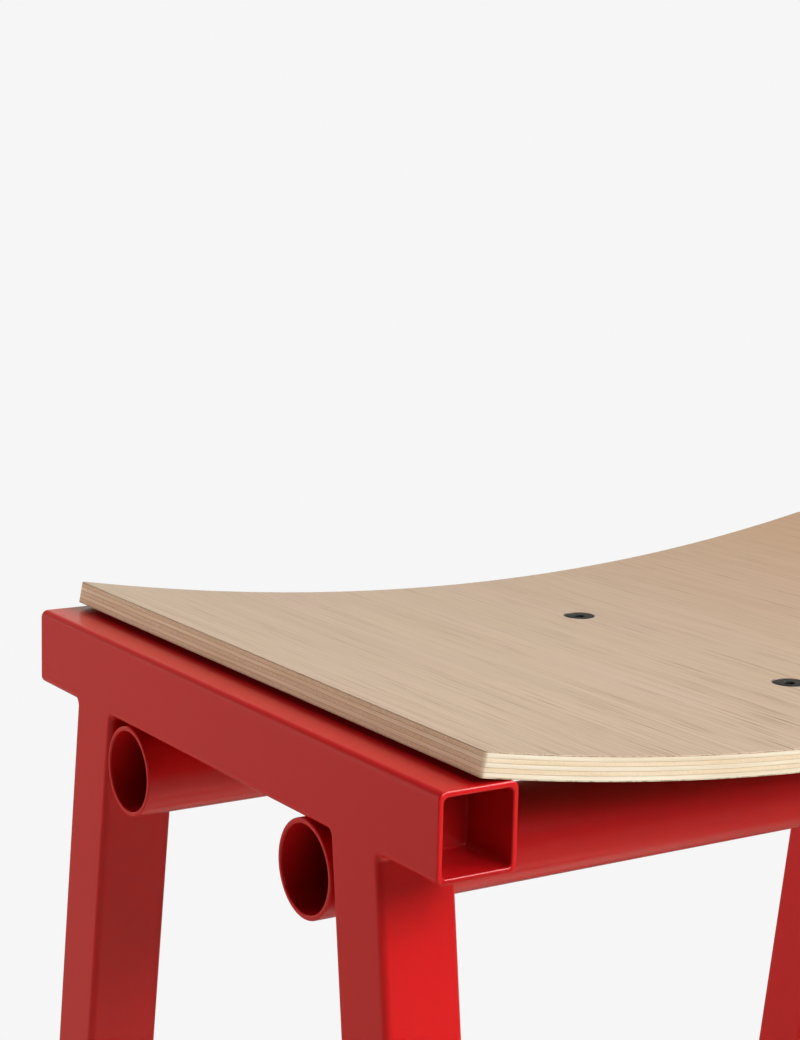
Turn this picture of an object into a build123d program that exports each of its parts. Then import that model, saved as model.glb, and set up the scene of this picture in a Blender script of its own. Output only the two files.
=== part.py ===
from build123d import *
import os
from math import asin, cos, radians, sin, sqrt, tan

# Bar stool: two welded square-tube end frames, round cross tubes between them,
# and a bent plywood seat that is screwed down in the middle.
# Millimetres and degrees. X runs from side to side, front is -Y, and the floor is Z = 0.

# Overall sizes
seat_height = 750.0         # floor to the seat's top surface at its lowest line
frame_width = 428.0         # outer face to outer face of the two end frames

# End frames
rail_length = 292.0         # top rail, front to back
square_size = 30.0          # outside of the square tube of the rails and legs
square_wall = 2.0
square_corner = 2.8         # outside corner radius of the square tube
square_bore_corner = 1.8    # inside corner radius of the square tube
rail_overhang = 34.0        # rail end to the leg's outer face, at the rail's underside
leg_splay = 7.3             # lean of each leg from upright, front to back
weld_radius = 2.0           # ground and coated fillet between rail and leg
rim_round = 0.7             # coated rim at the open ends of the rails and round tubes
plate_depth = 25.0          # rail end to the recessed plate that closes the rail
plate_thickness = 2.0
plate_gap = 0.1             # around the plate, inside the rail

# Round cross tubes
tube_diameter = 35.0
tube_wall = 2.0
weld_gap = 0.1              # between a round tube and the flat faces that it is welded to
footrest_height = 300.0     # floor to the top of the footrest tubes

# Seat
seat_side_inset = 17.5      # end frame's outer face to the end of the seat's top surface
seat_front_inset = 1.0      # rail end to the seat's front or rear edge
seat_radius = 1061.0        # bend of the top surface
ply_count = 5
ply_thickness = 1.51
veneer_thickness = 0.35
glue_line = 0.05
seat_corner = 1.5           # corner radius seen from above
seat_edge = 0.2             # sanded edge of the face veneers
seat_rest_gap = 0.1         # between the seat's underside and the rails

# Seat screws and the threaded bosses that take them
screw_diameter = 6.0
screw_length = 20.0
screw_tip = 0.6             # chamfer at the end of the thread
head_diameter = 13.0        # countersunk head, 90 degrees
head_sink = 0.2             # head below the seat's surface
socket_size = 4.0           # hexagon, across flats
socket_depth = 2.8
screw_gap = 0.05            # around the head and the thread
seat_hole_gap = 0.3         # around the thread where it passes the seat
boss_diameter = 18.0
boss_gap = 0.05             # between the boss and the tube that it is welded to

# Glides in the feet
glide_height = 5.0          # what shows under the leg
glide_edge = 1.5            # rounding at the floor
plug_length = 22.0
plug_gap = 0.15             # around the plug, inside the leg

# Seat outline, its layers and where the bend's axis lies
seat_width = frame_width - 2 * seat_side_inset
seat_depth = rail_length - 2 * seat_front_inset
seat_thickness = ply_count * ply_thickness + 2 * veneer_thickness + (ply_count + 1) * glue_line
under_radius = seat_radius + seat_thickness
seat_half_angle = asin(seat_width / 2 / seat_radius)
bend_axis_z = seat_height + seat_radius

# The seat rests on the rounded inner top corners of the rails, which sets the rails' height
rail_corner_x = frame_width / 2 - square_size + square_corner
rail_corner_reach = under_radius + seat_rest_gap + square_corner
rail_corner_z = bend_axis_z - sqrt(rail_corner_reach**2 - rail_corner_x**2)
rail_top = rail_corner_z + square_corner
rail_underside = rail_top - square_size

# The front leg at the rail's underside, and the places of the round tubes beside it
lean = radians(leg_splay)
leg_outer_y = rail_overhang - rail_length / 2
leg_inner_y = leg_outer_y + square_size / cos(lean)
leg_axis_y = (leg_outer_y + leg_inner_y) / 2
leg_x = square_size / 2 - frame_width / 2
tube_radius = tube_diameter / 2
tube_stand_off = tube_radius + weld_gap
bore_size = square_size - 2 * square_wall
weld_reach = 1.5 * weld_radius  # from the rail's underside to just past the end of the weld
joint_z = rail_underside - weld_reach
rim_share = 0.45                # most of a wall that a rim's rounding takes from one side
near = 0.01                     # how close counts as the same place when edges are picked


def beside_leg(z):
    """Y of a round tube at height z that lies against the front leg's inner face."""
    return leg_inner_y + (tube_stand_off + (z - rail_underside) * sin(lean)) / cos(lean)


def other_side(solid):
    """The same piece on the right."""
    return mirror(solid, about=Plane.YZ)


def other_end(solid):
    """The same piece at the rear."""
    return mirror(solid, about=Plane.XZ)


def between(solid, low, high):
    """The stretch of a solid between two heights."""
    above_low = split(solid, bisect_by=Plane.XY.offset(low), keep=Keep.TOP)
    return split(above_low, bisect_by=Plane.XY.offset(high), keep=Keep.BOTTOM)


def along_front_leg(side, corner):
    """A rounded square bar on the axis of the left front leg, longer than the leg at both ends."""
    axis = Plane(
        origin=(leg_x, leg_axis_y, rail_underside),
        x_dir=(1, 0, 0),
        z_dir=(0, sin(lean), cos(lean)),
    )
    reach = rail_underside / cos(lean) + 2 * square_size
    return extrude(axis * RectangleRounded(side, side, corner), amount=reach, both=True)


# The left end frame's outer skin: its outline in the Y-Z plane, with the welds as fillets,
# given the tube's depth and the tube's corner radius along every edge but the cut ends
leg_run = (rail_underside - glide_height) * tan(lean)
front_half = [
    (-rail_length / 2, rail_top),
    (-rail_length / 2, rail_underside),
    (leg_outer_y, rail_underside),
    (leg_outer_y - leg_run, glide_height),
    (leg_inner_y - leg_run, glide_height),
    (leg_inner_y, rail_underside),
]
rear_half = [(-y, z) for y, z in reversed(front_half)]
outline = make_face(Polyline(*front_half, *rear_half, close=True))
weld_corners = [
    corner
    for corner in outline.vertices()
    if abs(corner.Y - rail_underside) < near and abs(corner.X) < rail_length / 2 - near
]
outline = fillet(weld_corners, radius=weld_radius)
skin = extrude(Plane.YZ.offset(-frame_width / 2) * outline, amount=square_size)


def at_rail_end(edge):
    """True for an edge in the plane of a rail's cut end."""
    return abs(abs(edge.center().Y) - rail_length / 2) < near


def at_tube_end(edge):
    """True for an edge in the plane of a round tube's cut end."""
    return abs(abs(edge.center().X) - frame_width / 2) < near


def runs_along_tube(edge):
    """True for an outline edge that follows a square tube and isn't one of the cut ends."""
    middle = edge.center()
    on_side_face = abs(abs(middle.X - leg_x) - square_size / 2) < near
    at_foot = abs(middle.Z - glide_height) < near
    return on_side_face and not at_rail_end(edge) and not at_foot


skin = fillet(skin.edges().filter_by(runs_along_tube), radius=square_corner)


def with_rims(tube, at_end, wall):
    """The tube with the inner and outer edges of its open ends rounded."""
    return fillet(tube.edges().filter_by(at_end), radius=min(rim_round, rim_share * wall))


def across_rail(y):
    """The plane square to the left rail at y, centred in the rail and facing the rear."""
    return Plane(origin=(leg_x, y, rail_underside + square_size / 2), x_dir=(1, 0, 0), z_dir=(0, 1, 0))


# Left rail with its two welds, hollow and open at both ends
rail_bore_section = RectangleRounded(bore_size, bore_size, square_bore_corner)
rail_bore = extrude(across_rail(0) * rail_bore_section, amount=rail_length, both=True)
front_leg_bore = between(along_front_leg(bore_size, square_bore_corner), 0, rail_underside)
leg_bores = front_leg_bore + other_end(front_leg_bore)
rail_left = between(skin, joint_z, rail_top) - rail_bore - leg_bores
rail_left = with_rims(rail_left, at_rail_end, square_wall)

# Left front leg, cut level at the weld and at the foot
both_legs = between(skin, glide_height, joint_z) - leg_bores
leg_front_left = both_legs.solids().sort_by(Axis.Y)[0]

# Recessed plate that closes the front end of the left rail
plate_size = bore_size - 2 * plate_gap
plate_corner = square_bore_corner - plate_gap
plate_section = RectangleRounded(plate_size, plate_size, plate_corner)
plate_front_left = extrude(
    across_rail(plate_depth - rail_length / 2) * plate_section,
    amount=plate_thickness,
)

# Glide: a foot of the leg's own outline and a plug in the leg's bore
plug_size = bore_size - 2 * plug_gap
plug_corner = square_bore_corner - plug_gap
glide_foot = between(along_front_leg(square_size, square_corner), 0, glide_height)
glide_foot = fillet(glide_foot.faces().sort_by(Axis.Z)[0].edges(), radius=glide_edge)
glide_plug = between(along_front_leg(plug_size, plug_corner), glide_height, glide_height + plug_length)
glide_front_left = glide_foot + glide_plug


def cross_tube(z):
    """A round tube from side to side at height z, against the front legs, open at both ends."""
    ring = Circle(tube_radius) - Circle(tube_radius - tube_wall)
    place = Plane.YZ.offset(-frame_width / 2) * Pos(beside_leg(z), z)
    return with_rims(extrude(place * ring, amount=frame_width), at_tube_end, tube_wall)


seat_tube_z = rail_underside - tube_stand_off
seat_tube_y = beside_leg(seat_tube_z)
footrest_front = cross_tube(footrest_height - tube_radius)

# Threaded boss: saddle cut to the round tube, flat under the seat, with its hole on into the tube
screw_axis = Pos(0, seat_tube_y, seat_tube_z)
boss_top = seat_height - seat_thickness - seat_tube_z
upright = (Align.CENTER, Align.CENTER, Align.MIN)
boss_blank = Cylinder(boss_diameter / 2, boss_top, align=upright)
thread_hole = Cylinder(screw_diameter / 2 + screw_gap, boss_top, align=upright)
saddle = Rot(0, 90, 0) * Cylinder(tube_radius + boss_gap, frame_width)
seat_boss_front = screw_axis * (boss_blank - thread_hole - saddle)
seat_tube_front = cross_tube(seat_tube_z) - screw_axis * thread_hole

# Countersunk screw with a hexagon socket, and the hole that it takes in the seat
seat_surface = seat_height - seat_tube_z
head_height = (head_diameter - screw_diameter) / 2
hanging = (Align.CENTER, Align.CENTER, Align.MAX)
shank = Cylinder(screw_diameter / 2, screw_length, align=hanging)
shank = chamfer(shank.edges().sort_by(Axis.Z)[0], length=screw_tip)
head = Cone(screw_diameter / 2, head_diameter / 2, head_height, align=hanging)
socket_outline = RegularPolygon(socket_size / 2, 6, major_radius=False)
socket = extrude(socket_outline, amount=-socket_depth)
screw_front = screw_axis * Pos(0, 0, seat_surface - head_sink) * (shank + head - socket)

hole_radius = screw_diameter / 2 + seat_hole_gap
sink_radius = head_diameter / 2 + head_sink + screw_gap
sink_depth = sink_radius - hole_radius
hole_reach = 2 * seat_thickness  # the cut's ends, clear below and above the seat
hole_bottom = (hole_radius, -hole_reach)
sink_bottom = (hole_radius, -sink_depth)
sink_mouth = (sink_radius + hole_reach, hole_reach)
hole_profile = make_face(
    [
        Line((0, hole_reach), (0, -hole_reach)),
        Line((0, -hole_reach), hole_bottom),
        Line(hole_bottom, sink_bottom),
        Bezier(sink_bottom, (sink_radius, 0), sink_mouth),  # straight, and sure to cut a bent sheet
        Line(sink_mouth, (0, hole_reach)),
    ]
)
seat_hole = screw_axis * Pos(0, 0, seat_surface) * revolve(Plane.XZ * hole_profile, Axis.Z)


def bent_sheet(top_radius, thickness):
    """One bent sheet of the seat, cut square to its surface at the ends, with rounded corners."""
    low_radius = top_radius + thickness

    def on_bend(radius, angle):
        return (radius * sin(angle), bend_axis_z - radius * cos(angle))

    left, right = -seat_half_angle, seat_half_angle
    section = make_face(
        [
            ThreePointArc(on_bend(top_radius, left), on_bend(top_radius, 0), on_bend(top_radius, right)),
            Line(on_bend(top_radius, right), on_bend(low_radius, right)),
            ThreePointArc(on_bend(low_radius, right), on_bend(low_radius, 0), on_bend(low_radius, left)),
            Line(on_bend(low_radius, left), on_bend(top_radius, left)),
        ]
    )
    sheet = extrude(Plane.XZ * section, amount=seat_depth / 2, both=True)
    corners = sheet.edges().filter_by(GeomType.LINE).sort_by(SortBy.LENGTH)[:4]
    return fillet(corners, radius=seat_corner)


def sanded(sheet, radius):
    """The sheet with the edge of one bent face rounded over, the one with this radius."""
    bent_faces = sheet.faces().filter_by(GeomType.CYLINDER)
    face = min(bent_faces, key=lambda bent: abs(bent.radius - radius))
    return fillet(face.outer_wire().edges(), radius=seat_edge)


def drilled(sheet):
    """The sheet with both screw holes."""
    return sheet - seat_hole - other_end(seat_hole)


layers = {}
layers["seat_veneer_top"] = drilled(sanded(bent_sheet(seat_radius, veneer_thickness), seat_radius))
layer_radius = seat_radius + veneer_thickness + glue_line
for number in range(1, ply_count + 1):
    layers[f"seat_ply_{number}"] = drilled(bent_sheet(layer_radius, ply_thickness))
    layer_radius += ply_thickness + glue_line
layers["seat_veneer_bottom"] = drilled(sanded(bent_sheet(layer_radius, veneer_thickness), under_radius))

# Every piece by name; the rear and the right repeat the front and the left
nodes = dict(layers)
nodes["rail_left"] = rail_left
nodes["rail_right"] = other_side(rail_left)
for name, piece in (("leg", leg_front_left), ("rail_plate", plate_front_left), ("glide", glide_front_left)):
    nodes[f"{name}_front_left"] = piece
    nodes[f"{name}_front_right"] = other_side(piece)
    nodes[f"{name}_rear_left"] = other_end(piece)
    nodes[f"{name}_rear_right"] = Rot(0, 0, 180) * piece
for name, piece in (("seat_tube", seat_tube_front), ("footrest", footrest_front), ("seat_boss", seat_boss_front)):
    nodes[f"{name}_front"] = piece
    nodes[f"{name}_rear"] = other_end(piece)
nodes["seat_screws"] = screw_front + other_end(screw_front)

os.makedirs("parts", exist_ok=True)
for name, piece in nodes.items():
    export_step(piece, f"parts/{name}.step")
    box = piece.bounding_box()
    print(f"{name}: {box.size.X:.1f} x {box.size.Y:.1f} x {box.size.Z:.1f} mm, {piece.volume / 1000:.2f} cm3")
print(f"rail underside {rail_underside:.2f}, rail top {rail_top:.2f}, seat {seat_thickness:.2f} thick")
print(f"round tubes {seat_tube_y:.2f} from the middle under the seat")
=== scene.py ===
# %% [markdown]
# This lesson dresses a bar stool in Blender. Two end frames of welded square tube stand on splayed legs,
# round tubes run between them, and a bent plywood seat with an oak face is screwed down in the middle.
# The construction comes from the CAD model, which is loaded as a fixed frame. Blender adds finer surfaces
# where a smooth shape counts, and a finish for every surface.

# %% Load the frame
import math

import bmesh
import bpy
import numpy as np
from mathutils import Matrix, Vector


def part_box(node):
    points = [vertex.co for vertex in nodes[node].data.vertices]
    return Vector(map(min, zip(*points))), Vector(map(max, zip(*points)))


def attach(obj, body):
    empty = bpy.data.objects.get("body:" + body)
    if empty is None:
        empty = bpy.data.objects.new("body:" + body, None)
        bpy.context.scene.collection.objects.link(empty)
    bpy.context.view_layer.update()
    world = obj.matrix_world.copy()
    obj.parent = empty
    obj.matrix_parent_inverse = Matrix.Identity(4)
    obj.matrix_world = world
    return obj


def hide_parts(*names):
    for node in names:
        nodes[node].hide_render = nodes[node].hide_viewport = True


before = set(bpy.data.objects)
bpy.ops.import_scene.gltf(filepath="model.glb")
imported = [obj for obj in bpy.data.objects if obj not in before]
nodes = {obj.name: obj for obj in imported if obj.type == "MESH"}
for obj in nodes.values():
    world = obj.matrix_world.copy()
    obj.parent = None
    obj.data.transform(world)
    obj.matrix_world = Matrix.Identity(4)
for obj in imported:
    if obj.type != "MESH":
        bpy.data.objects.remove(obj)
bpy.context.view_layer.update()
MM = 0.001

# %% [markdown]
# The camera comes first, because every later choice is judged through it. It stands at the front left,
# a little above the seat, and its place was worked out from straight edges in the photograph. A camera
# looks along its own -Z with +Y up, so its turn is made of three directions: right, up and back.

# %% Camera
camera_place = (-0.5986, -0.7122, 0.9626)
camera_yaw = math.radians(33.021)
camera_pitch = math.radians(10.016)
camera_roll = math.radians(1.36)
camera_lens_mm = 80.864
sensor_mm = 36.0


def camera_turn(yaw, pitch, roll):
    """Columns right, up and back. Forward is turned from +Y towards +X by yaw and down by pitch."""
    ahead = math.cos(pitch)
    forward = Vector((math.sin(yaw) * ahead, math.cos(yaw) * ahead, -math.sin(pitch)))
    level = Vector((math.cos(yaw), -math.sin(yaw), 0.0))
    upright = level.cross(forward)
    right = math.cos(roll) * level + math.sin(roll) * upright
    up = math.cos(roll) * upright - math.sin(roll) * level
    return Matrix((right, up, -forward)).transposed()


def add_object(name, data):
    """A new object that holds the data, linked to the scene."""
    made = bpy.data.objects.new(name, data)
    bpy.context.scene.collection.objects.link(made)
    return made


camera_data = bpy.data.cameras.new("camera")
camera_data.sensor_width = sensor_mm
camera_data.lens = camera_lens_mm
camera = add_object("camera", camera_data)
turned = camera_turn(camera_yaw, camera_pitch, camera_roll).to_4x4()
camera.matrix_world = Matrix.Translation(camera_place) @ turned
bpy.context.scene.camera = camera
print("Camera at", camera_place, "lens", camera_lens_mm)

# %% [markdown]
# Every new piece here is a set of grids. A grid is an array of points, rows by columns, that a formula
# fills in one go. Pieces could also be modelled by hand from boxes and cylinders, but a formula keeps the
# real sizes exact. Neighbouring grids repeat the points on their shared edge, so merging points that
# coincide sews them into one closed skin. All faces are then turned outwards.

# %% From grids of points to a closed skin
merge_distance = 1e-7
sliver_length = 1e-8


def as_points(first, second, third):
    """Three arrays of coordinates, widened to one shape, as one array of points."""
    return np.stack(np.broadcast_arrays(first, second, third), axis=-1)


def grid_faces(rows, columns, start):
    """Quads between neighbouring rows and columns, as indices counted from start."""
    index = start + np.arange(rows * columns).reshape(rows, columns)
    corners = (index[:-1, :-1], index[:-1, 1:], index[1:, 1:], index[1:, :-1])
    return np.stack(corners, axis=-1).reshape(-1, 4)


def all_points(grids):
    """The points of every grid in one list, grid after grid."""
    return np.concatenate([grid.reshape(-1, 3) for grid in grids])


def all_faces(grids):
    """The quads of every grid, each grid counting on from the points of those before it."""
    starts = np.cumsum([0] + [grid.shape[0] * grid.shape[1] for grid in grids])
    return np.concatenate([grid_faces(*grid.shape[:2], start) for grid, start in zip(grids, starts)])


def sew(mesh):
    """Merges points that coincide, drops faces that shrink to a line, and turns all faces outwards."""
    work = bmesh.new()
    work.from_mesh(mesh)
    bmesh.ops.remove_doubles(work, verts=work.verts, dist=merge_distance)
    bmesh.ops.dissolve_degenerate(work, edges=work.edges, dist=sliver_length)
    bmesh.ops.recalc_face_normals(work, faces=work.faces)
    work.to_mesh(mesh)
    work.free()


print("Points closer than", merge_distance, "m are merged")

# %% [markdown]
# A piece is an object that holds such a skin. Its faces are shaded smooth, except across edges that are
# sharper than a given angle. It rides on the stool's one body and stands for the CAD nodes that it covers,
# which are hidden. It can also keep three numbers at every point, which tell a material where on the flat
# sheet, or how deep in a tube, the point lies.


# %% From a skin to a piece
def make_piece(name, grids, sharp_degrees, stands_for, kept_name=None, kept_grids=None):
    """One closed mesh from grids of points, with the values of grids to keep stored at its points."""
    mesh = bpy.data.meshes.new(name)
    mesh.from_pydata(all_points(grids).tolist(), [], all_faces(grids).tolist())
    if kept_name:
        kept = mesh.attributes.new(kept_name, "FLOAT_VECTOR", "POINT")
        kept.data.foreach_set("vector", all_points(kept_grids).ravel())
    sew(mesh)
    mesh.polygons.foreach_set("use_smooth", np.ones(len(mesh.polygons), bool))
    mesh.set_sharp_from_angle(angle=math.radians(sharp_degrees))
    piece = add_object(name, mesh)
    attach(piece, "root")
    if stands_for:
        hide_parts(*stands_for)
    print(name, len(mesh.vertices), "points", len(mesh.polygons), "faces")
    return piece


# %% [markdown]
# The seat is seven sheets glued in a bent press: five plies and a thin oak veneer on each face. Each sheet
# is first drawn flat, in a length across the seat, a length front to back and a depth below the surface,
# and then bent round one long axis. A Simple Deform modifier could bend it too, but it would lose the flat
# lengths, which the grain needs later, and here the bend is one formula for every point.

# %% Seat sizes from the frame
bend_radius = 1.061
glue_line = 0.05 * MM
veneer_thickness = 0.35 * MM
ply_names = [f"seat_ply_{number}" for number in range(1, 6)]
sheet_names = ["seat_veneer_top", *ply_names, "seat_veneer_bottom"]
sheet_lows = [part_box(name)[0].z for name in sheet_names]
seat_surface = sheet_lows[0] + veneer_thickness
seat_thickness = seat_surface - sheet_lows[-1]
half_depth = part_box("seat_veneer_top")[1].y
half_span = bend_radius * math.asin(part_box("seat_veneer_bottom")[1].x / (bend_radius + seat_thickness))
print("Seat", 2 * half_span, "along the bend,", 2 * half_depth, "deep,", seat_thickness, "thick")


def bend(flat):
    """Bends flat points: the length across becomes an angle, and the depth adds to the bend's radius."""
    across, along, depth = np.moveaxis(flat, -1, 0)
    angle = across / bend_radius
    radius = bend_radius + depth
    height = seat_surface + bend_radius - radius * np.cos(angle)
    return as_points(radius * np.sin(angle), along, height)


# %% [markdown]
# Two screws go through the seat, one behind the other on its middle line. Round each of them, a small
# square block takes the place of the face's even grid, and its rows run from the hole's circle out to the
# square. A Boolean modifier would leave long, thin triangles that spoil the shading of a bent face.

# %% Faces round a screw hole
block = 9.0 * MM
block_steps = 12
hole_rings = 6
head_radius = 6.5 * MM
screw_spots = [(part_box("seat_screws")[1].y - head_radius) * side for side in (-1, 1)]
print("Screws at", screw_spots, "front to back")


def square_outline():
    """Once round a square of half width 1, counterclockwise, closed."""
    side = np.linspace(-1, 1, block_steps + 1)[:-1]
    one = np.ones_like(side)
    across = np.concatenate([side, one, -side, -one, [-1.0]])
    along = np.concatenate([-one, side, one, -side, [-1.0]])
    return across, along


def circle_outline(radius):
    """The square's outline drawn in, straight towards its centre, to a circle."""
    across, along = square_outline()
    reach = np.hypot(across, along)
    return radius * across / reach, radius * along / reach


def around_hole(centre, hole_radius):
    """Rings from the hole's circle to the square block, each point straight out from the centre."""
    across, along = square_outline()
    circle_across, circle_along = circle_outline(hole_radius)
    share = np.linspace(0, 1, hole_rings + 1)[:, None]
    return (
        circle_across + share * (across * block - circle_across),
        centre + circle_along + share * (along * block - circle_along),
    )


# %% [markdown]
# The rest of a face is a patchwork of even grids between the blocks and the rounded border. Their stops
# line up with the blocks' own, so that the sewing finds every shared point.

# %% Faces of a sheet
corner_round = 1.5 * MM
cell = 6.0 * MM
print("Cells of", cell, "m, and", 2 * block / block_steps, "m round a screw")


def stretch(start, end, steps=None):
    """Even stops from start to end, a cell apart where no count is given."""
    steps = steps or max(1, round((end - start) / cell))
    return np.linspace(start, end, steps + 1)


def face_grids(depth, hole_radius):
    """One face of the sheet inside its rounded border, as grids of flat points at one depth."""
    across_end = half_span - corner_round
    along_end = half_depth - corner_round
    front, rear = screw_spots
    columns = [
        stretch(-across_end, -block),
        stretch(-block, block, block_steps),
        stretch(block, across_end),
    ]
    rows = [
        stretch(-along_end, front - block),
        stretch(front - block, front + block, block_steps),
        stretch(front + block, rear - block),
        stretch(rear - block, rear + block, block_steps),
        stretch(rear + block, along_end),
    ]
    grids = []
    for i, column in enumerate(columns):
        for j, row in enumerate(rows):
            holds_screw = i == 1 and j in (1, 3)
            if holds_screw:
                across, along = around_hole(row.mean(), hole_radius)
            else:
                across, along = np.meshgrid(column, row)
            grids.append((across, along, np.full_like(across, depth)))
    return grids, np.unique(np.concatenate(columns)), np.unique(np.concatenate(rows))


# %% [markdown]
# The edge of a sheet is a profile carried round the outline. The outline has four straight sides and a
# small quarter turn at each corner, and at every point it knows the way out. The profile says how far out
# and how deep to go: over the rounded top edge, down the cut and under. A Bevel modifier could round the
# edges, but here the same points also close the gap between the two faces.

# %% Edge of a sheet
corner_steps = 6
edge_steps = 4


def outline_path(columns, rows):
    """The border's inner line with the way out at each point: four sides, and a turn at each corner."""
    turn = np.linspace(0, np.pi / 2, corner_steps + 1)[1:-1]
    across_end, along_end = columns[-1], rows[-1]
    sides = (
        (columns, np.full_like(columns, -along_end), -np.pi / 2),
        (np.full_like(rows, across_end), rows, 0.0),
        (columns[::-1], np.full_like(columns, along_end), np.pi / 2),
        (np.full_like(rows, -across_end), rows[::-1], np.pi),
    )
    across, along, way = [], [], []
    for side_across, side_along, heading in sides:
        across += [side_across, np.full_like(turn, side_across[-1])]
        along += [side_along, np.full_like(turn, side_along[-1])]
        way += [np.full_like(side_across, heading), heading + turn]
    return [np.concatenate([*part, part[0][:1]]) for part in (across, along, way)]


def edge_profile(thickness, top_round, bottom_round):
    """The edge seen from the side: how far out and how deep, over the top edge, down and under."""
    turn = np.linspace(0, np.pi / 2, edge_steps + 1)
    top_out = corner_round - top_round + top_round * np.sin(turn)
    top_deep = top_round - top_round * np.cos(turn)
    low_out = corner_round - bottom_round + bottom_round * np.cos(turn)
    low_deep = thickness - bottom_round + bottom_round * np.sin(turn)
    return (
        np.concatenate([[0.0], top_out, low_out, [0.0]]),
        np.concatenate([[0.0], top_deep, low_deep, [thickness]]),
    )


def edge_grid(columns, rows, top_depth, thickness, top_round, bottom_round):
    """The profile at every point of the outline, pushed out along the way that the point faces."""
    across, along, way = outline_path(columns, rows)
    out, deep = edge_profile(thickness, top_round, bottom_round)
    out = out[:, None]
    return across + out * np.cos(way), along + out * np.sin(way), top_depth + deep[:, None]


print("An edge profile has", len(edge_profile(veneer_thickness, 0.0, 0.0)[0]), "points")

# %% [markdown]
# Each hole has a wall between the circles in the two faces. It narrows with depth like the countersunk
# head that it takes, so each sheet asks for the hole's radius at its own top and bottom. One cone through
# all sheets would look the same, but then no sheet would be closed.

# %% Walls of a screw hole
sink_radius = 6.75 * MM
hole_clear = 3.3 * MM
print("Countersink", 2 * sink_radius, "m wide at the top")


def hole_at(depth):
    """The countersink narrows one for one with depth until it reaches the clearance hole."""
    return max(hole_clear, sink_radius - depth)


def hole_wall(centre, top_depth, low_depth):
    """Two rows of points, on the circle in the top face and on the circle in the bottom face."""
    depths = np.array([[top_depth], [low_depth]])
    across, along = circle_outline(np.array([[hole_at(top_depth)], [hole_at(low_depth)]]))
    return across, centre + along, depths


# %% [markdown]
# Faces, edge and walls together close a sheet. The veneers have a sanded outer edge. The plies have crisp
# edges and stand a glue line apart, which draws thin dark lines between them. Each sheet keeps its flat
# coordinates at every point, so that the grain can be drawn in them later.

# %% Seat sheets
sanded_edge = 0.2 * MM
crisp_edge = 0.04 * MM
sheet_sharp = 40


def sheet_grids(top_depth, low_depth, top_round, bottom_round):
    """All grids of one flat sheet: two faces, the border with its edge, and the walls of two holes."""
    flat, columns, rows = face_grids(top_depth, hole_at(top_depth))
    flat += face_grids(low_depth, hole_at(low_depth))[0]
    flat.append(edge_grid(columns, rows, top_depth, low_depth - top_depth, top_round, bottom_round))
    flat += [hole_wall(centre, top_depth, low_depth) for centre in screw_spots]
    return [as_points(*grid) for grid in flat]


seat_pieces = {}
top_depth = 0.0
for name, low_z in zip(sheet_names, sheet_lows):
    low_depth = seat_surface - low_z
    top_round = sanded_edge if name == sheet_names[0] else crisp_edge
    bottom_round = sanded_edge if name == sheet_names[-1] else crisp_edge
    flat = sheet_grids(top_depth, low_depth, top_round, bottom_round)
    bent = [bend(grid) for grid in flat]
    piece_name = name.replace("seat_", "sheet_")
    seat_pieces[name] = make_piece(piece_name, bent, sheet_sharp, [name], "flat", flat)
    top_depth = low_depth + glue_line

# %% [markdown]
# The four round tubes are cut square and coated, so each open end has a soft rim. A cylinder with Solidify
# and Bevel modifiers would do, but a drawn profile knows where in the tube each of its points lies. The
# profile is closed: out along the outer wall, round the rim, back along the bore and round the other rim.

# %% Profile of a round tube
tube_wall = 2.0 * MM
rim_round = 0.7 * MM
wall_steps = 24
quarter_steps = 6
print("Tube wall", tube_wall, "m, with a rim rounded by", rim_round, "m")


def quarter(centre_first, centre_second, start, radius):
    """Points of a quarter circle round a centre, from the start angle on, as rows of two numbers."""
    turn = start + np.linspace(0, np.pi / 2, quarter_steps + 1)
    return np.stack([centre_first + radius * np.cos(turn), centre_second + radius * np.sin(turn)], axis=1)


def tube_profile(half_length, outer):
    """Closed profile as (along, out): outer wall, right rim, bore, left rim, and back to the start."""
    inner = outer - tube_wall
    end = half_length - rim_round
    walls = np.linspace(-end, end, wall_steps + 1)[1:-1]
    parts = [
        np.stack([walls, np.full_like(walls, outer)], axis=1),
        quarter(end, outer - rim_round, 0, rim_round)[::-1],
        quarter(end, inner + rim_round, -np.pi / 2, rim_round)[::-1],
        np.stack([walls[::-1], np.full_like(walls, inner)], axis=1),
        quarter(-end, inner + rim_round, np.pi, rim_round)[::-1],
        quarter(-end, outer - rim_round, np.pi / 2, rim_round)[::-1],
    ]
    return np.concatenate([*parts, parts[0][:1]])


# %% [markdown]
# The profile is turned about the tube's axis in one array. Neither powder nor light reaches far into a
# tube, so each point also keeps a share of thinner coat and painted shade: nothing outside, and more and
# more from the rim inwards.

# %% Round tubes
tube_names = ("seat_tube_front", "seat_tube_rear", "footrest_front", "footrest_rear")
tube_sides = 120
coat_and_shade_reach = 22.0 * MM
tube_sharp = 50


def turn_about_x(profile, centre_y, centre_z):
    """Carries a profile of (along, out) round the X direction through a centre."""
    turn = np.linspace(0, 2 * np.pi, tube_sides + 1)
    along, out = profile[:, :1], profile[:, 1:]
    return as_points(along, centre_y + out * np.cos(turn), centre_z + out * np.sin(turn))


def thin_coat_and_shade(profile, half_length, outer):
    """How far a point is through the wall, times how deep it lies in the bore, up to one."""
    through = (outer - profile[:, 1]) / tube_wall
    deep = np.clip((half_length - np.abs(profile[:, 0])) / coat_and_shade_reach, 0, 1)
    return np.broadcast_to((through * deep)[:, None, None], (len(profile), tube_sides + 1, 3))


tube_pieces = []
for name in tube_names:
    low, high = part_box(name)
    middle = (low + high) / 2
    outer = (high.z - low.z) / 2
    profile = tube_profile(high.x, outer)
    grid = turn_about_x(profile, middle.y, middle.z)
    thin = thin_coat_and_shade(profile, high.x, outer)
    piece = make_piece(f"round_{name}", [grid], tube_sharp, [name], "thin", [thin])
    tube_pieces.append(piece)

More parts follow.
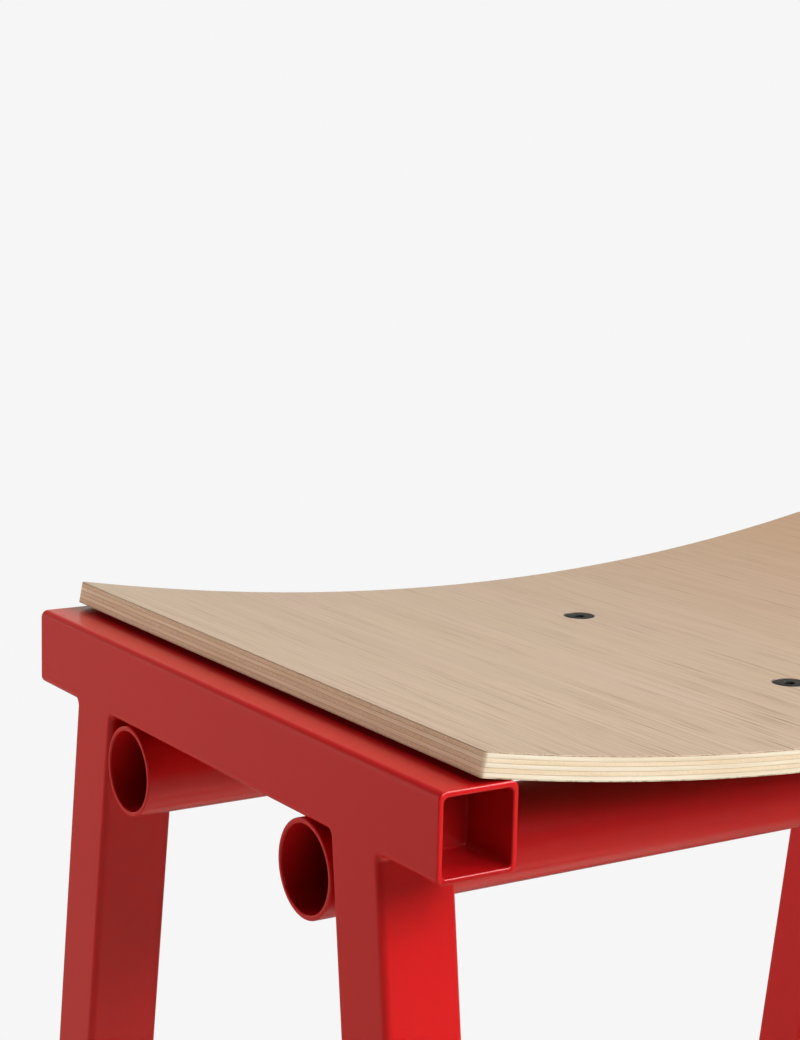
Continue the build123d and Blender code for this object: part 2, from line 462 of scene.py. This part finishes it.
# %% [markdown]
# The seat screws are countersunk socket screws. They are turned too, but the socket is a hexagon, so the
# radius of its rows changes with the angle: the flat's distance divided by the cosine of the angle to the
# middle of the nearest flat. That saves cutting the socket out of a finished head.

# %% Seat screws
head_edge = 0.25 * MM
thread_radius = 3.0 * MM
socket_flat = 2.0 * MM
socket_depth = 2.8 * MM
socket_mouth = 2.5 * MM
mouth_depth = 0.3 * MM
screw_tip = 0.6 * MM
screw_sides = 72
screw_sharp = 30


def hexagon(turn, flat):
    """Distance from the centre to a hexagon's side in each direction."""
    sixth = np.pi / 3
    return flat / np.cos((turn + sixth / 2) % sixth - sixth / 2)


def screw_grid(centre_y, top, bottom):
    """From the socket's middle up, out over the head, down the flank and shank, and in to the axis."""
    turn = np.linspace(0, 2 * np.pi, screw_sides + 1)
    socket = hexagon(turn, socket_flat)
    length = top - bottom
    round_rows = [
        (socket_mouth, 0.0),
        (head_radius - head_edge, 0.0),
        (head_radius, head_edge / 2),
        (head_radius - head_edge / 2, head_edge),
        (thread_radius, head_radius - thread_radius),
        (thread_radius, length - screw_tip),
        (thread_radius - screw_tip, length),
        (0.0, length),
    ]
    socket_rows = [(0 * socket, socket_depth), (socket, socket_depth), (socket, mouth_depth)]
    rows = socket_rows + [(np.full_like(turn, radius), depth) for radius, depth in round_rows]
    radii, depths = zip(*rows)
    radii = np.stack(radii)
    heights = top - np.array(depths)[:, None]
    return as_points(radii * np.cos(turn), centre_y + radii * np.sin(turn), heights)


screw_low, screw_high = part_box("seat_screws")
screw_pieces = []
for place, centre_y in zip(("front", "rear"), screw_spots):
    grid = screw_grid(centre_y, screw_high.z, screw_low.z)
    screw_pieces.append(make_piece(f"screw_{place}", [grid], screw_sharp, ["seat_screws"]))

# %% [markdown]
# A plate closes each rail a short way in from its end. Where plate and rail meet, the coating pools into a
# small hollow curve that catches the light. A bevel would have to change the CAD mesh, so the curve is a
# thin piece of its own: a profile carried round the inside of the rail, with a quarter circle from wall to
# plate, closed behind by the corner that it fills.

# %% Coating in the corner of the rail plates
bore_side = 26.0 * MM
bore_corner = 1.8 * MM
pool_radius = 0.8 * MM
pool_bury = 0.05 * MM
pool_sharp = 50


def bore_outline(inset):
    """Once round the rail's bore, moved in by inset: four quarter circles and the sides between them."""
    straight = bore_side / 2 - bore_corner
    corners = ((1, 1), (-1, 1), (-1, -1), (1, -1))
    quarters = [
        quarter(side_x * straight, side_z * straight, turns * np.pi / 2, bore_corner - inset)
        for turns, (side_x, side_z) in enumerate(corners)
    ]
    return np.concatenate([*quarters, quarters[0][:1]])


def pool_profile():
    """Closed profile as (inset from the wall, height above the plate): hollow curve, then its corner."""
    behind = [(pool_radius, -pool_bury), (-pool_bury, -pool_bury), (-pool_bury, pool_radius)]
    return np.concatenate([behind[-1:], quarter(pool_radius, pool_radius, np.pi, pool_radius), behind])


def pool_grid(plate, way):
    """The profile at every point of the bore's outline, standing on the plate's outer face."""
    low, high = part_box(plate)
    middle = (low + high) / 2
    face_y = low.y if way < 0 else high.y
    insets, heights = pool_profile().T
    outlines = np.stack([bore_outline(inset) for inset in insets])
    across, up = np.moveaxis(outlines, -1, 0)
    return as_points(middle.x + across, face_y + way * heights[:, None], middle.z + up)


pool_pieces = []
for end, way in (("front", -1), ("rear", 1)):
    for side in ("left", "right"):
        grid = pool_grid(f"rail_plate_{end}_{side}", way)
        pool_pieces.append(make_piece(f"coat_pool_{end}_{side}", [grid], pool_sharp, []))

# %% [markdown]
# Materials are small networks of nodes. They could be wired by hand in the shader editor. In a script, a
# few helpers keep them readable: they start a material, fill a socket with a value or a link, add a node,
# and give the finished material to pieces.


# %% Helpers for materials and nodes
def start_material(name):
    """A new material with its node tree and its Principled shader."""
    material = bpy.data.materials.new(name)
    material.use_nodes = True
    return material, material.node_tree, material.node_tree.nodes["Principled BSDF"]


def connect(tree, value, socket):
    """Links an output to a socket, or sets a plain value on it."""
    if isinstance(value, bpy.types.NodeSocket):
        tree.links.new(value, socket)
    else:
        socket.default_value = value


def add_node(tree, kind, **sockets):
    """A node of one kind, with values or links on its named sockets."""
    node = tree.nodes.new(kind)
    for key, value in sockets.items():
        connect(tree, value, node.inputs[key])
    return node


def dress(material, pieces):
    """Gives the material to pieces and CAD nodes alike, in their own material slots."""
    for piece in pieces:
        if not piece.data.materials:
            piece.data.materials.append(material)
        for index in range(len(piece.data.materials)):
            piece.data.materials[index] = material
    print(material.name, "on", len(pieces), "pieces")


print("Slots:", sorted({slot.name for node in nodes.values() for slot in node.data.materials}))

# %% [markdown]
# Patterns are worked out by small steps on numbers: multiply two of them, take a vector apart, or map one
# span of values onto another. Each step is one node, and its helper hands on the node's output.

# %% Helpers for numbers
measures = ("DISTANCE", "DOT_PRODUCT", "LENGTH")


def arithmetic(tree, operation, first, second=0.0):
    """One Math node."""
    node = tree.nodes.new("ShaderNodeMath")
    node.operation = operation
    connect(tree, first, node.inputs[0])
    connect(tree, second, node.inputs[1])
    return node.outputs["Value"]


def times(tree, first, second):
    """One number times another."""
    return arithmetic(tree, "MULTIPLY", first, second)


def squared(tree, value):
    """A number times itself."""
    return times(tree, value, value)


def vector_math(tree, operation, first, second=(0.0, 0.0, 0.0)):
    """One Vector Math node: a number where the operation measures, and a vector otherwise."""
    node = tree.nodes.new("ShaderNodeVectorMath")
    node.operation = operation
    connect(tree, first, node.inputs[0])
    connect(tree, second, node.inputs[1])
    return node.outputs["Value" if operation in measures else "Vector"]


def by_axis(tree, vector):
    """The three parts of a vector, by the name of the axis."""
    return add_node(tree, "ShaderNodeSeparateXYZ", Vector=vector).outputs


def remap(tree, value, span, onto):
    """Maps one span of values onto another in a straight line, held at the ends."""
    node = add_node(tree, "ShaderNodeMapRange", Value=value)
    for key, number in zip(("From Min", "From Max", "To Min", "To Max"), (*span, *onto)):
        node.inputs[key].default_value = number
    return node.outputs["Result"]


def mix_values(tree, share, first, second):
    """Mixes two numbers by a share."""
    node = tree.nodes.new("ShaderNodeMix")
    for socket, value in zip((s for s in node.inputs if s.type == "VALUE"), (share, first, second)):
        connect(tree, value, socket)
    return node.outputs["Result"]


print("Vector steps that give a number:", measures)

# %% [markdown]
# A pattern needs to know where it is. Object coordinates are the piece's own, and the values that a piece
# keeps at its points follow its surface. Scaled by axis, either makes a pattern long in one direction and
# fine in another. An image would need its own unwrapping for every piece, and noise needs none.


# %% Helpers for patterns
def object_place(tree):
    """The piece's own Object coordinates."""
    return tree.nodes.new("ShaderNodeTexCoord").outputs["Object"]


def stored(tree, name, output="Vector"):
    """What the points of a piece keep under a name, or nothing where they keep none."""
    node = tree.nodes.new("ShaderNodeAttribute")
    node.attribute_name = name
    return node.outputs[output]


def facing(tree):
    """The direction that the surface faces, by axis."""
    return by_axis(tree, tree.nodes.new("ShaderNodeNewGeometry").outputs["Normal"])


def stretched(tree, place, scale):
    """Coordinates multiplied by a scale for each axis."""
    return add_node(tree, "ShaderNodeMapping", Vector=place, Scale=scale).outputs["Vector"]


def noise(tree, place, scale, detail=2.0, roughness=0.5):
    """Noise that is stretched by axis; features are about one over the scale apart."""
    vector = stretched(tree, place, scale)
    settings = {"Vector": vector, "Scale": 1.0, "Detail": detail, "Roughness": roughness}
    return add_node(tree, "ShaderNodeTexNoise", **settings).outputs["Fac"]


print("Sheets keep flat:", "flat" in seat_pieces["seat_veneer_top"].data.attributes)
print("Tubes keep thin:", "thin" in tube_pieces[0].data.attributes)

# %% [markdown]
# A finish is a colour, a roughness and a bump. Colours are mixed by a share, which is usually a pattern:
# where it is nothing the first colour shows, and where it is one the second. Noise mostly lies between
# 0.3 and 0.7, so the roughness is mapped from that span.

# %% Helpers for colours and finishes
noise_span = (0.3, 0.7)
specular = "Specular IOR Level"


def blend(tree, share, first, second, mode="MIX"):
    """Mixes two colours by a share."""
    node = tree.nodes.new("ShaderNodeMix")
    node.data_type = "RGBA"
    node.blend_type = mode
    connect(tree, share, node.inputs["Factor"])
    for socket, value in zip((s for s in node.inputs if s.type == "RGBA"), (first, second)):
        connect(tree, value, socket)
    return next(s for s in node.outputs if s.type == "RGBA")


def tinted(tree, colour, tint):
    """A colour multiplied by a tint, channel by channel."""
    return blend(tree, 1.0, colour, tint, "MULTIPLY")


def lay_finish(tree, shader, colour, sheen, roughness, relief, height):
    """A colour, a roughness that follows one pattern, and a bump that is so high where another is one."""
    connect(tree, colour, shader.inputs["Base Color"])
    connect(tree, remap(tree, sheen, noise_span, roughness), shader.inputs["Roughness"])
    bump = add_node(tree, "ShaderNodeBump", Height=relief, Distance=height, Strength=1.0)
    connect(tree, bump.outputs["Normal"], shader.inputs["Normal"])


print("Roughness is mapped from", noise_span)

# %% [markdown]
# Inside the bores and the rail ends the frame's red is darker: a thinner powder coat, since little powder
# gets in, and painted shade, since little light gets in. The round tubes keep that share at their points.
# The rails are CAD nodes and keep nothing, so there a point counts as inside when it is near the rail's
# middle line, both sideways and upwards.

# %% Where the coat is thin and shade is painted
rail_thin_coat_and_shade = 0.42
bore_slack = 0.3 * MM
bore_reach = bore_side / 2 + bore_slack
rail_low, rail_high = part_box("rail_left")
rail_middle = (rail_low + rail_high) / 2
print("Rail middle at", tuple(rail_middle), "m")


def near(tree, value, middle):
    """One where a number is no further from the middle than the wall of a rail's bore."""
    share = arithmetic(tree, "COMPARE", value, middle)
    share.node.inputs[2].default_value = bore_reach
    return share


def in_rail(tree, place):
    """One where the point is near a rail's middle line both ways, which is inside its bore."""
    axes = by_axis(tree, place)
    sideways = near(tree, arithmetic(tree, "ABSOLUTE", axes["X"]), abs(rail_middle.x))
    return times(tree, sideways, near(tree, axes["Z"], rail_middle.z))


def thin_coat_and_shade_share(tree, place):
    """The larger of what a tube keeps at the point and what counts in the bore of a rail."""
    rail_share = times(tree, in_rail(tree, place), rail_thin_coat_and_shade)
    return arithmetic(tree, "MAXIMUM", stored(tree, "thin", "Fac"), rail_share)


# %% [markdown]
# Up close, a glossy powder coat is never flat: it melts into a fine orange-peel skin. One noise gives that
# skin as a bump and breaks up the gloss, and a broad one shifts the colour a little. A plain red shader
# would be right from afar, but its reflections would be as clean as glass.

# %% Red powder coat
coat_tones = ((0.600, 0.0075, 0.0095, 1), (0.660, 0.0095, 0.0118, 1))
# Dark red inside the bores: a thinner coat and painted shade.
thin_coat_and_shade_tone = (0.20, 0.0026, 0.0034, 1)
coat_tone_scale = (9, 9, 9)
peel_scale = (420, 420, 420)
peel_height = 0.004 * MM
coat_roughness = (0.20, 0.26)
coat_specular = 0.55


def red_coat():
    """Saturated red with an orange-peel bump and slightly uneven gloss, darker inside tubes from a thinner
    coat and painted shade.
    """
    material, tree, shader = start_material("red_coat")
    place = object_place(tree)
    coat = blend(tree, noise(tree, place, coat_tone_scale, detail=3), *coat_tones)
    colour = blend(tree, thin_coat_and_shade_share(tree, place), coat, thin_coat_and_shade_tone)
    peel = noise(tree, place, peel_scale)
    lay_finish(tree, shader, colour, peel, coat_roughness, peel, peel_height)
    shader.inputs[specular].default_value = coat_specular
    return material


frame_nodes = [nodes[name] for name in nodes if name.startswith(("rail_", "leg_", "seat_boss_"))]
dress(red_coat(), frame_nodes + tube_pieces + pool_pieces)

# %% [markdown]
# The seat's face is oak veneer with the grain running front to back. A picture of veneer could be wrapped
# over it, but it would repeat. Noise in the sheet's flat coordinates follows the bend and never does. The
# tones come first: broad bands along the grain, which drift between a pinkish and a yellowish oak, and a
# painted shade that turns the oak browner and darker towards the seat's right side, where the bent-up end
# turns away from the light on the right.

# %% Oak tones
pinkish_tones = ((0.518, 0.350, 0.248, 1), (0.664, 0.473, 0.357, 1))
yellowish_tones = ((0.508, 0.363, 0.244, 1), (0.655, 0.483, 0.345, 1))
# Painted shade: a browner, darker oak towards the seat's right end.
right_end_shade_tone = (0.558, 0.352, 0.221, 1)
band_scale = (42, 1.1, 42)
drift_scale = (26, 5.0, 26)
drift_span = (0.35, 0.65)


def oak_tones(tree, place, axes):
    """Two banded tones mixed by a slow noise, and a painted shade, browner and darker, that grows from the
    middle to the right.
    """
    bands = noise(tree, place, band_scale, detail=3, roughness=0.6)
    drift = remap(tree, noise(tree, place, drift_scale), drift_span, (0.0, 1.0))
    banded = blend(tree, drift, blend(tree, bands, *pinkish_tones), blend(tree, bands, *yellowish_tones))
    right_end_shade_share = remap(tree, axes["X"], (0.0, half_span), (0.0, 1.0))
    return blend(tree, right_end_shade_share, banded, right_end_shade_tone)


print("Oak tones:", pinkish_tones, yellowish_tones, right_end_shade_tone)

# %% [markdown]
# Oak also has fine growth lines and open pores, which are short dark scratches along the grain. The lines
# are a finer noise, stretched along the grain. A pore is the middle of a long, thin cell, and most of them
# lie on the dark lines. Both fade from the front edge towards the middle, as in the photograph.

# %% Growth lines and pores
line_tone = (0.38, 0.245, 0.155, 1)
line_scale = (480, 8.0, 480)
line_span, line_shares = (0.42, 0.72), (0.0, 0.65)
pore_tone = (0.17, 0.095, 0.055, 1)
pore_scale = (900, 24, 900)
pore_span, pore_shares = (0.42, 0.60), (0.05, 0.85)
pore_rim = (0.20, 0.34)
clear_shares = (1.0, 0.4)


def pores(tree, place, lines):
    """One near a cell's middle and nothing outside its rim, times a share that grows on the lines."""
    cells = add_node(tree, "ShaderNodeTexVoronoi", Vector=stretched(tree, place, pore_scale), Scale=1.0)
    dash = remap(tree, cells.outputs["Distance"], pore_rim, (1.0, 0.0))
    return times(tree, dash, remap(tree, lines, pore_span, pore_shares))


def clear_at_front(tree, axes):
    """A share that falls from the front edge to the middle of the seat."""
    return remap(tree, axes["Y"], (-half_depth, 0.0), clear_shares)


print("Pores are about", 1 / pore_scale[1], "m long and", 1 / pore_scale[0], "m wide")

# %% [markdown]
# A cut edge looks different from a face. At the front, the top veneer's edge is brown and the bottom
# veneer's is pale, with small torn chips in both. At the ends both are brown. Where the surface faces
# down, its colour is darker. Each could be a material of its own, but they would meet in hard lines. The
# way that the surface faces blends them instead.

# %% Cut edges and underside
half_thickness = seat_thickness / 2
top_front_tone, bottom_front_tone = (0.54, 0.385, 0.27, 1), (0.72, 0.61, 0.48, 1)
end_tone = (0.60, 0.42, 0.285, 1)
chip_tone = (0.26, 0.155, 0.095, 1)
chip_scale = (420, 60, 60)
chip_span, chip_shares = (0.50, 0.58), (0.0, 0.8)
facing_down_tint = (0.36, 0.30, 0.26, 1)
down_span = (-0.9, -0.6)
print("Deeper than", half_thickness, "m lies the bottom veneer")


def cut_edge(tree, place, axes, towards):
    """A tone for each veneer at the front, one tone at the ends, and dark chips at the front and rear."""
    lower = arithmetic(tree, "GREATER_THAN", axes["Z"], half_thickness)
    front = blend(tree, lower, top_front_tone, bottom_front_tone)
    cut = blend(tree, squared(tree, towards["X"]), front, end_tone)
    chips = remap(tree, noise(tree, place, chip_scale, detail=3, roughness=0.7), chip_span, chip_shares)
    return blend(tree, times(tree, chips, squared(tree, towards["Y"])), cut, chip_tone)


def darkened_facing_down(tree, colour, towards):
    """The colour multiplied by a darker tint where the surface faces down."""
    under = remap(tree, towards["Z"], down_span, (1.0, 0.0))
    return blend(tree, under, colour, tinted(tree, colour, facing_down_tint))


# %% [markdown]
# The walls of the screw holes are darker, in veneers and plies alike: partly the cutter's burnish, partly
# painted shade in the countersink round the head. The way they face would tell them from the faces, but
# not from the edges. The distance from the screw's axis does.

# %% Screw holes: burnish and painted shade
# Dark hole walls: the cutter's burnish together with painted shade in the countersink.
burnish_and_shade_tone = (0.12, 0.07, 0.045, 1)
burnish_and_shade_share = 0.8
burnish_and_shade_reach = 0.2 * MM
print("Holes are burnished to", (sink_radius + burnish_and_shade_reach) / MM, "mm from their axis")


def burnish_and_shade_holes(tree, place, colour):
    """A dark tone, burnish and painted shade, up to the rim of a screw hole, with both holes folded onto
    the rear one's axis.
    """
    mirrored = vector_math(tree, "ABSOLUTE", place)
    level = vector_math(tree, "MULTIPLY", mirrored, (1.0, 1.0, 0.0))
    away = vector_math(tree, "DISTANCE", level, (0.0, screw_spots[1], 0.0))
    wall = remap(tree, away, (sink_radius, sink_radius + burnish_and_shade_reach), (burnish_and_shade_share, 0.0))
    return blend(tree, wall, colour, burnish_and_shade_tone)


# %% [markdown]
# The finished veneer lays these over each other: tones with their painted shade, lines, the darker tint
# where it faces down, cut edges, pores and last the holes' burnish and painted shade. The bump also
# presses the pores in, and the lines break up the satin sheen of the lacquer.

# %% Oak veneer
edge_span = (0.20, 0.70)
oak_roughness = (0.33, 0.41)
pore_depth = 0.03 * MM


def oak_face():
    """Pale oak: bands and growth lines in the colour, pores in both colour and bump, and cut edges."""
    material, tree, shader = start_material("oak_face")
    place = stored(tree, "flat")
    axes = by_axis(tree, place)
    towards = facing(tree)
    clear = clear_at_front(tree, axes)
    lines = noise(tree, place, line_scale, detail=3, roughness=0.65)
    line = times(tree, remap(tree, lines, line_span, line_shares), clear)
    lined = blend(tree, line, oak_tones(tree, place, axes), line_tone)
    edge = remap(tree, squared(tree, towards["Z"]), edge_span, (1.0, 0.0))
    edged = blend(tree, edge, darkened_facing_down(tree, lined, towards), cut_edge(tree, place, axes, towards))
    pore = pores(tree, place, lines)
    pored = blend(tree, times(tree, pore, clear), edged, pore_tone)
    pressed_in = times(tree, pore, -1.0)
    lay_finish(tree, shader, burnish_and_shade_holes(tree, place, pored), lines, oak_roughness, pressed_in, pore_depth)
    return material


dress(oak_face(), [seat_pieces["seat_veneer_top"], seat_pieces["seat_veneer_bottom"]])

# %% [markdown]
# The plies are pale veneers laid crosswise. A ply shows long streaks where its edge runs along the grain,
# and darker speckled end grain where its edge cuts across. One stretched noise gives both, because it is
# drawn through the solid. Close to its neighbours each ply is stained by the glue, which draws the thin
# brown lines between the layers. A thin dark piece could stand for the glue, but a stain fades both ways.

# %% Fibres and glue of a ply
side_to_side, front_to_back = 0, 1
fibre_scale, grain_scale = 1500.0, 18.0
ply_pitch = sheet_lows[1] - sheet_lows[2]
first_glue = veneer_thickness + glue_line / 2
glue_span, glue_shares = (0.03, 0.10), (0.5, 0.0)
print("Plies lie", ply_pitch / MM, "mm apart")


def ply_fibres(tree, place, grain_axis):
    """Noise that is fine both ways across the grain and long along it."""
    scale = [fibre_scale] * 3
    scale[grain_axis] = grain_scale
    return noise(tree, place, tuple(scale), detail=3, roughness=0.6)


def glue_stain(tree, depth):
    """The depth counted in plies, folded to the distance from the nearest glue line, strongest there."""
    layer = arithmetic(tree, "DIVIDE", arithmetic(tree, "SUBTRACT", depth, first_glue), ply_pitch)
    return remap(tree, arithmetic(tree, "PINGPONG", layer, 0.5), glue_span, glue_shares)


# %% [markdown]
# The direction that the surface faces says which of the two shows: the front edge has one colour and mark
# strength, and the end edge another. A slow noise in thin layers shifts the colour along the ply, and the
# fibres darken and roughen it.

# %% Ply edges
ply_drift_scale = (24, 24, 1100)
ply_drift_shares = (0.0, 0.75)
drift_tint = (0.90, 0.84, 0.74, 1)
mark_span = (0.46, 0.72)
mark_tint = (0.55, 0.45, 0.36, 1)
glue_tint = (0.55, 0.42, 0.30, 1)
ply_roughness = (0.62, 0.75)
fibre_height = 0.04 * MM
ply_specular = 0.25


def ply_edge(name, grain_axis, tones, marks):
    """Ply with its grain along one axis, its tones and mark strengths given for front and end edges."""
    material, tree, shader = start_material(name)
    place = stored(tree, "flat")
    ends = squared(tree, facing(tree)["X"])
    colour = blend(tree, ends, *tones)
    drift = remap(tree, noise(tree, place, ply_drift_scale, detail=3), drift_span, ply_drift_shares)
    drifted = blend(tree, drift, colour, tinted(tree, colour, drift_tint))
    fibres = ply_fibres(tree, place, grain_axis)
    mark = times(tree, remap(tree, fibres, mark_span, (0.0, 1.0)), mix_values(tree, ends, *marks))
    marked = blend(tree, mark, drifted, tinted(tree, colour, mark_tint))
    glue = glue_stain(tree, by_axis(tree, place)["Z"])
    stained = blend(tree, glue, marked, tinted(tree, colour, glue_tint))
    lay_finish(tree, shader, burnish_and_shade_holes(tree, place, stained), fibres, ply_roughness, fibres, fibre_height)
    shader.inputs[specular].default_value = ply_specular
    return material


along_tones, along_marks = ((0.80, 0.72, 0.60, 1), (0.88, 0.65, 0.45, 1)), (0.30, 0.45)
across_tones, across_marks = ((0.79, 0.65, 0.49, 1), (0.96, 0.74, 0.53, 1)), (0.20, 0.45)
plies = [seat_pieces[name] for name in ply_names]
dress(ply_edge("ply_along", side_to_side, along_tones, along_marks), plies[::2])
dress(ply_edge("ply_across", front_to_back, across_tones, across_marks), plies[1::2])

# %% [markdown]
# The screws are black oxide steel, and the glides are black plastic with a moulded grain. Both are the
# same finish with other numbers: a dark colour that a fine noise varies, roughens and raises. A plain
# black would do from afar, but up close it looks like a hole.

# %% Black screws and glides
oxide_tones = ((0.006, 0.006, 0.007, 1), (0.016, 0.016, 0.018, 1))
plastic_tones = ((0.018, 0.018, 0.019, 1), (0.032, 0.032, 0.034, 1))


def black_finish(name, tones, scale, detail, roughness, height, shine):
    """Two dark tones mixed by a fine noise, which also sets the roughness and the bump."""
    material, tree, shader = start_material(name)
    grain = noise(tree, object_place(tree), (scale, scale, scale), detail)
    lay_finish(tree, shader, blend(tree, grain, *tones), grain, roughness, grain, height)
    shader.inputs[specular].default_value = shine
    return material


oxide = {"scale": 900, "detail": 3.0, "roughness": (0.45, 0.60), "height": 0.01 * MM, "shine": 0.35}
plastic = {"scale": 1600, "detail": 2.0, "roughness": (0.50, 0.65), "height": 0.03 * MM, "shine": 0.5}
glides = [nodes[name] for name in nodes if name.startswith("glide_")]
dress(black_finish("black_oxide", oxide_tones, **oxide), screw_pieces)
dress(black_finish("black_plastic", plastic_tones, **plastic), glides)

# %% [markdown]
# The stage is a pale floor in a studio that is bright low down behind the stool on the right, and dim
# overhead and in front. That matters for a glossy coat: a face seen at a slant mirrors the bright side and
# turns milky, while a face turned to the camera mirrors the dim side and keeps its deep colour. Real walls
# and panels could be built for that. Here one helper says what each kind of ray meets: the camera sees an
# even pale backdrop, reflections see the studio, and the light on surfaces comes from the lamps.

# %% What each kind of ray meets
white = (1, 1, 1, 1)
warm_white = (1.0, 0.975, 0.82, 1)
print("The studio's tone is", warm_white[:3])


def by_ray(tree, camera_value, reflected_value, lit_value):
    """A number for camera rays, one for glossy and transmission rays, and one for all the others."""
    path = tree.nodes.new("ShaderNodeLightPath").outputs
    mirrored = arithmetic(tree, "MAXIMUM", path["Is Glossy Ray"], path["Is Transmission Ray"])
    unseen = mix_values(tree, mirrored, lit_value, reflected_value)
    return mix_values(tree, path["Is Camera Ray"], unseen, camera_value)


def seen_white(tree):
    """White to the camera, and the slightly warm tone of the studio to every other ray."""
    path = tree.nodes.new("ShaderNodeLightPath").outputs
    return blend(tree, path["Is Camera Ray"], warm_white, white)


# %% [markdown]
# The world holds the studio. Its level in reflections depends on the direction alone: how near it is to
# the bright side, and how high it points.

# %% Backdrop
backdrop_white = 0.9216
bright_way = (0.5, 0.866, 0.0)
bright_span, studio_levels = (0.10, 0.95), (0.10, 0.75)
overhead_span, overhead_shares = (0.18, 0.50), (1.0, 0.25)
sky_light = 0.03


def studio_level(tree):
    """Brighter the closer a direction is to the bright way, and dimmer the higher it points."""
    direction = tree.nodes.new("ShaderNodeTexCoord").outputs["Generated"]
    alike = vector_math(tree, "DOT_PRODUCT", direction, bright_way)
    overhead = remap(tree, by_axis(tree, direction)["Z"], overhead_span, overhead_shares)
    return times(tree, remap(tree, alike, bright_span, studio_levels), overhead)


world = bpy.data.worlds.new("studio")
world.use_nodes = True
bpy.context.scene.world = world
sky_tree = world.node_tree
sky_shader = sky_tree.nodes["Background"]
sky_strength = by_ray(sky_tree, backdrop_white, studio_level(sky_tree), sky_light)
connect(sky_tree, seen_white(sky_tree), sky_shader.inputs["Color"])
connect(sky_tree, sky_strength, sky_shader.inputs["Strength"])
print("Backdrop", backdrop_white, "to the camera,", studio_levels, "in reflections")

# %% [markdown]
# The floor has two parts. Near the stool it is matt and takes light and shadow, with a little glow to the
# camera. It throws most light back up in front of the stool, and is dimmer in reflections further off.

# %% Near floor
floor_tone = 0.54
floor_glow = 0.36
floor_roughness = 0.9
mirror_span, mirror_shares = (0.42, 0.72), (0.54, 0.18)
bounce_span, bounce_shares = (-0.6, 0.3), (1.0, 0.45)
print("Floor tone", floor_tone, "with a glow of", floor_glow)


def near_floor(tree, shader, towards_back, away):
    """Matt grey with its own grey for each kind of ray, and a glow that only the camera sees."""
    mirrored = remap(tree, away, mirror_span, mirror_shares)
    bounce = remap(tree, towards_back, bounce_span, bounce_shares)
    grey = by_ray(tree, floor_tone, mirrored, bounce)
    connect(tree, tinted(tree, grey, seen_white(tree)), shader.inputs["Base Color"])
    connect(tree, by_ray(tree, floor_glow, 0.0, 0.0), shader.inputs["Emission Strength"])
    shader.inputs["Emission Color"].default_value = white
    shader.inputs["Roughness"].default_value = floor_roughness
    shader.inputs[specular].default_value = 0.0
    return shader.outputs[0]


# %% [markdown]
# Further off only the glow is left, at the backdrop's own brightness, so no horizon shows. A curved studio
# sweep could hide the horizon too, but from behind its back wall would stand in the way.

# %% Floor
floor_half = 60.0
fade_span = (0.5, 1.05)
far_span, far_levels = (-1.5, 1.5), (0.08, 0.28)


def far_floor(tree, towards_back):
    """Glow alone: the backdrop's level to the camera, and a dimmer one, front to back, in reflections."""
    strength = by_ray(tree, backdrop_white, remap(tree, towards_back, far_span, far_levels), 0.0)
    return add_node(tree, "ShaderNodeEmission", Color=seen_white(tree), Strength=strength).outputs[0]


def pale_floor():
    """The near floor, giving way to the far floor with the distance from the stool's middle."""
    material, tree, shader = start_material("pale_floor")
    place = object_place(tree)
    towards_back = by_axis(tree, place)["Y"]
    away = vector_math(tree, "LENGTH", place)
    far_share = remap(tree, away, fade_span, (0.0, 1.0))
    mix = tree.nodes.new("ShaderNodeMixShader")
    connect(tree, by_ray(tree, far_share, far_share, 0.0), mix.inputs[0])
    connect(tree, near_floor(tree, shader, towards_back, away), mix.inputs[1])
    connect(tree, far_floor(tree, towards_back), mix.inputs[2])
    connect(tree, mix.outputs[0], tree.nodes["Material Output"].inputs["Surface"])
    return material


floor_mesh = bpy.data.meshes.new("floor")
floor_corners = [(x * floor_half, y * floor_half, 0.0) for x, y in ((-1, -1), (1, -1), (1, 1), (-1, 1))]
floor_mesh.from_pydata(floor_corners, [], [(0, 1, 2, 3)])
floor_mesh.materials.append(pale_floor())
floor = add_object("floor", floor_mesh)
print("Floor fades to the backdrop between", fade_span, "m")

# %% [markdown]
# Three soft boxes light the stool. The key stands high on the right, so the seat shades the rail and the
# tube under it, and the rims catch a bright line. One in front, also high, lights the near faces. A low
# one at the back left fills the outer and rear faces without reaching far into the tubes. It is kept out
# of reflections, because the coat would mirror it as a pale stripe along every rounded edge.

# %% Soft boxes
lamp_aim = Vector((0.0, 0.0, 0.70))


def lamp(name, place, size, watts):
    """A square soft box that faces the middle of the stool's top."""
    data = bpy.data.lights.new(name, "AREA")
    data.shape = "SQUARE"
    data.size = size
    data.energy = watts
    soft_box = add_object(name, data)
    soft_box.location = place
    soft_box.rotation_euler = (lamp_aim - Vector(place)).to_track_quat("-Z", "Y").to_euler()
    print("Soft box", name, "at", place, "with", watts, "W")
    return soft_box


lamp("key", place=(1.6, -0.9, 2.7), size=1.6, watts=69)
lamp("front", place=(0.3, -2.3, 2.2), size=1.3, watts=55)
fill = lamp("fill", place=(-1.7, 1.7, 0.85), size=1.4, watts=33)
fill.visible_glossy = False

# %% Finish
bpy.context.scene.view_settings.view_transform = "Standard"
